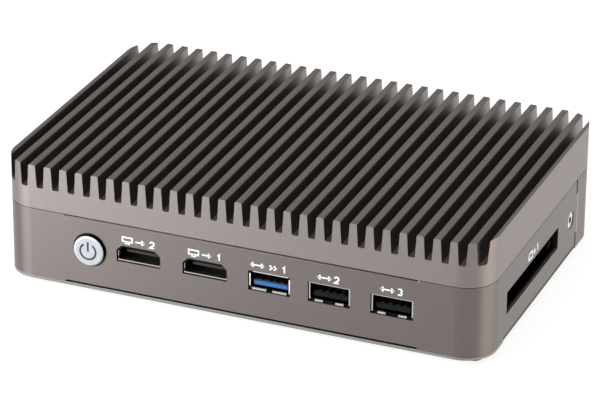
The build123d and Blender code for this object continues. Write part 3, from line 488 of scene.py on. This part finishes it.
# The data contacts are gold plated; their colour is painted dark grey as shade.
dress(["data_contacts_1", "data_contacts_2", "data_contacts_3"],
      grained("gold plated bronze in painted shade", "4E4B45", 0.4, (0.3, 1.0, 0.3), 0.06))

# The card socket: a moulded block of black nylon behind the opening in the right wall, soldered to the board.
# It has lipped rails for the card and a row of gold plated contacts.
dress(["card_socket"], moulded("matt black nylon", "080808", 0.8, specular=0.1))
dress(["card_contacts"], gold)


# The main board: glass fibre under green solder mask. Copper tracks 0.6 mm apart lie under the mask and
# show as slightly paler lines.
def board_skin(name, chips_above=None):
    """Green solder mask with tracks; above a height in metres, where there is one, it is black chip epoxy."""
    track_scale = 250.0
    track_wander = 6.0
    track_edge = (0.55, 0.65)
    track_rise = 0.00003
    material, tree, shader, place = begin(name)
    tracks = add(tree, "ShaderNodeTexWave", {"bands_direction": "DIAGONAL"}, Vector=place, Scale=track_scale,
                 Distortion=track_wander, Detail=1.0)
    lines = add(tree, "ShaderNodeMapRange", Value=tracks.outputs["Fac"], i1=track_edge[0], i2=track_edge[1])
    skin = mixed(tree, lines.outputs[0], linear("17402B"), linear("24583C"))
    if chips_above is not None:
        height = add(tree, "ShaderNodeSeparateXYZ", Vector=place)
        above = step(tree, height.outputs["Z"], chips_above * 1000, 0.05)
        skin = mixed(tree, above, skin, linear("1A1A1C"))
    tree.links.new(skin, shader.inputs["Base Color"])
    shader.inputs["Roughness"].default_value = 0.35
    relief = add(tree, "ShaderNodeBump", Height=lines.outputs[0], Strength=1.0, Distance=track_rise)
    tree.links.new(relief.outputs[0], shader.inputs["Normal"])
    return material


chip_rise = 0.0010
dress(["main_board"], board_skin("green solder mask"))
for name in ("memory_module", "storage_module"):
    dress([name], board_skin(name.replace("_", " ") + " mask and chips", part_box(name)[1].z - chip_rise))

# The processor, chips and coils: packages of black epoxy and ferrite, dull and finely grained, and between
# the processor and the lid a soft grey pad of silicone.
epoxy = moulded("black chip epoxy", "1A1A1C", 0.5, 0.3)
dress(["processor", "board_chips"], epoxy)
dress(["power_coils"], moulded("pressed ferrite", "2B2A29", 0.65, 0.2, 0.008))
dress(["thermal_pad"], moulded("grey silicone heat pad", "8B8F98", 0.8))

# The capacitors and the coin cell: drawn cans of bright metal with faint rings from the press. The capacitors
# are soldered to the board, and the cell is clipped into its holder.
dress(["capacitors"], grained("drawn aluminium can", "C4C4C6", 0.3, (0.3, 0.3, 2.0), 0.08))
dress(["coin_cell"], grained("nickel plated steel can", "B9B8B4", 0.22, (0.5, 0.5, 0.5), 0.05))

# The network jacks: nickel plated shields round black housings, gold plated spring contacts, and clear
# windows over the two lights.
dress(["network_shield_1", "network_shield_2"], nickel)
dress(["network_housing_1", "network_housing_2"], nylon)
dress(["network_contacts_1", "network_contacts_2"], gold)
dress(["network_lights"], moulded("clear polycarbonate", "B5B98A", 0.15, 0.8, 0.001))

# The serial port: a drawn, nickel plated shell round a nylon insulator with nine gold plated pins. Two zinc
# plated jack nuts hold it to the rear panel.
dress(["serial_shell"], nickel)
dress(["serial_body"], nylon)
dress(["serial_pins"], gold)
dress(["serial_jack_nuts"], zinc)

# The power inlet: a threaded bush of black nylon with a nickel plated pin, put through the rear panel and
# held by a zinc plated nut.
dress(["inlet_body"], nylon)
dress(["inlet_pin"], nickel)
dress(["inlet_nut"], zinc)


# The marks on the front: plain pictures and numbers in white screen ink above each socket, a screen for
# video and a pair of arrows for data. The ink is opaque and matt.
def digit(number, height, width):
    """Path of a plain numeral about its middle, in millimetres: straight strokes and arcs."""
    low, high = -height / 2, height / 2
    bend = width / 2
    if number == 1:
        return [(-bend / 2, high - height * 0.28), (bend / 3, high), (bend / 3, low)]
    if number == 2:
        top = arc((0, high - bend), bend, 170, -30, 14)
        return np.vstack([top, [(-bend, low), (bend, low)]])
    upper = arc((0, height / 4), height / 4, 150, -60, 12)
    lower = arc((0, -height / 4), height / 4, 60, -150, 12)
    return np.vstack([upper, lower]) * (bend / (height / 4), 1.0)


def screen_picture(x, width, height, ink):
    """A monitor: its outline on a short foot."""
    low = -height / 2 + height * 0.28
    high = height / 2
    outline = [(x - width / 2, low), (x + width / 2, low), (x + width / 2, high), (x - width / 2, high)]
    foot = [(x - width / 4, -height / 2), (x + width / 4, -height / 2)]
    return [stroke(outline, ink, closed=True), stroke(foot, ink), stroke([(x, low), (x, -height / 2)], ink)]


def chevron(x, size, way, ink):
    """An arrow's head whose tip is at x and points right for 1, left for -1."""
    return stroke([(x - way * size, size), (x, 0.0), (x - way * size, -size)], ink)


def arrows_picture(x, width, size, ink):
    """A level arrow with a head at each end."""
    ends = [x - width / 2, x + width / 2]
    return [stroke([(ends[0], 0.0), (ends[1], 0.0)], ink), chevron(ends[0], size, -1, ink),
            chevron(ends[1], size, 1, ink)]


white_ink = moulded("white screen ink", "FCFCFE", 0.55, 0.2, 0.001)
front_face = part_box("front_frame")[0].y
mark_height = 2.0
mark_ink = 0.48
mark_rise = 0.0023
digit_width = 1.3
head = 0.75
screen_x, screen_width = -3.6, 3.2
shaft_start, shaft_tip = -0.9, 1.9
video_digit_x = 4.6
for number in (1, 2):
    low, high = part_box(f"video_shell_{number}")
    place = ((low.x + high.x) / 2, front_face, high.z + mark_rise)
    strokes = screen_picture(screen_x, screen_width, mark_height, mark_ink)
    strokes += [stroke([(shaft_start, 0.0), (shaft_tip, 0.0)], mark_ink),
                chevron(shaft_tip, head, 1, mark_ink)]
    numeral = digit(number, mark_height, digit_width) + np.array((video_digit_x, 0.0))
    strokes.append(stroke(numeral, mark_ink))
    printed(f"video_mark_{number}", strokes, place, (1, 0, 0), (0, -1, 0), white_ink, "root")
data_shift = 0.0002
arrows_width = 4.0
extra_heads = (1.2, 2.5)
for number, width in ((1, 11.2), (2, 6.6), (3, 6.6)):
    low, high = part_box(f"data_shell_{number}")
    place = ((low.x + high.x) / 2 - data_shift, front_face, high.z + mark_rise)
    strokes = arrows_picture((arrows_width - width) / 2, arrows_width, head, mark_ink)
    if number == 1:
        strokes += [chevron(x, head, 1, mark_ink) for x in extra_heads]
    numeral = digit(number, mark_height, digit_width) + np.array(((width - digit_width) / 2, 0.0))
    strokes.append(stroke(numeral, mark_ink))
    printed(f"data_mark_{number}", strokes, place, (1, 0, 0), (0, -1, 0), white_ink, "root")

# The mark on the right side: the outline of a card with one corner cut, and an arrow into the slot, in the
# same white ink.
side_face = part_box("front_frame")[1].x
card_ink = 0.55
card_left = -4.4
card_width = 3.4
card_rise = 0.0015
card_arrow = (1.0, 0.9)
card_number = 3.7
cut = mark_height / 3
left, right, tall = card_left, card_left + card_width, mark_height / 2
card_outline = [(left, -tall), (right, -tall), (right, tall), (left + cut, tall), (left, tall - cut)]
arrow_x, arrow_head = card_arrow
arrow_points = [(arrow_x - arrow_head, 0.0), (arrow_x, -arrow_head), (arrow_x + arrow_head, 0.0)]
numeral = digit(1, mark_height, digit_width) + np.array((card_number, 0.0))
arrow_stem = [(arrow_x, tall), (arrow_x, -arrow_head)]
printed("card_mark",
        [stroke(card_outline, card_ink, closed=True), stroke(arrow_stem, card_ink),
         stroke(arrow_points, card_ink), stroke(numeral, card_ink)],
        (side_face, (card_low.y + card_high.y) / 2, card_high.z + card_rise), (0, 1, 0), (1, 0, 0),
        white_ink, "root")

# Painted shade at each side wall's foot: a thin black strip against the base plate's edge stands for the
# shadow in the gap there, and shows as a dark line.
shade_strip_height = 1.15
shade_strip_depth = 0.71
shade_strip_start = 0.0160
shade_strip_end_gap = 0.05
shade_strip_inset = 0.00007
foot_gap = 0.00063
wall_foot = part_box("base_plate")[1].z + foot_gap
# The strip's black is painted shade for the gap at the wall's foot.
rubber = moulded("black painted shade strip", "161514", 0.6)
shade_strip_half = (frame_high.y - frame_low.y - shade_strip_start) * 500 - shade_strip_end_gap
shade_strip_y = (frame_low.y + shade_strip_start + frame_high.y) / 2
for name, side in (("shade_strip_right", 1), ("shade_strip_left", -1)):
    place = (side * (frame_high.x - shade_strip_depth / 1000 - shade_strip_inset), shade_strip_y, wall_foot - shade_strip_height / 2000)
    strip = [stroke([(-shade_strip_half, 0.0), (shade_strip_half, 0.0)], shade_strip_height)]
    printed(name, strip, place, (0, side, 0), (side, 0, 0), rubber, "root", shade_strip_depth)
